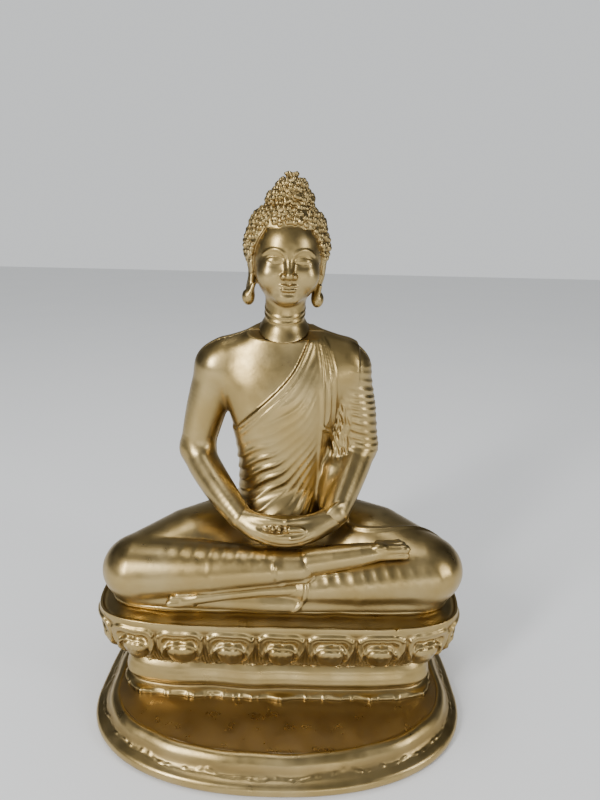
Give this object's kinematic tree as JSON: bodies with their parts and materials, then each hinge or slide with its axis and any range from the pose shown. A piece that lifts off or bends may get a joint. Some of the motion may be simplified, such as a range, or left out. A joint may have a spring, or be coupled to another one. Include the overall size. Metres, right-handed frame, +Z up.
{
  "type": "buddha statue",
  "caption": "Seated meditating Buddha figure on a lotus throne and a wide stepped plinth, cast hollow in brass-coloured metal, for standing on a table or shelf.",
  "frame": {"origin": "middle of the underside of the felt pad, at the middle of the whole statue's width and depth", "axes": "+Z up; the figure faces -Y; +X is at the right of someone who faces the statue"},
  "size_m": [0.176, 0.13, 0.25],
  "materials": {
    "cast_brass": "satin cast brass, polished on the high places and browner in the hollows",
    "zinc_steel": "zinc-plated fasteners",
    "felt": "dark green felt",
    "cover": "black painted sheet steel"
  },
  "bodies": {
    "root": {"plinth": "cast_brass", "waist_moulding": "cast_brass", "lotus_throne": "cast_brass", "figure_base_plate": "cast_brass", "body_front_shell": "cast_brass", "body_back_shell": "cast_brass", "head": "cast_brass", "crown_finial": "cast_brass", "cover_screw_1": "zinc_steel", "cover_screw_2": "zinc_steel", "cover_screw_3": "zinc_steel", "cover_screw_4": "zinc_steel", "tie_bolt_left": "zinc_steel", "tie_bolt_right": "zinc_steel", "tie_washer_left": "zinc_steel", "tie_washer_right": "zinc_steel", "tie_nut_left": "zinc_steel", "tie_nut_right": "zinc_steel", "seam_dowel_1": "zinc_steel", "seam_dowel_2": "zinc_steel", "seam_dowel_3": "zinc_steel", "seam_dowel_4": "zinc_steel", "felt_pad": "felt", "bottom_cover": "cover"}
  },
  "joints": []
}
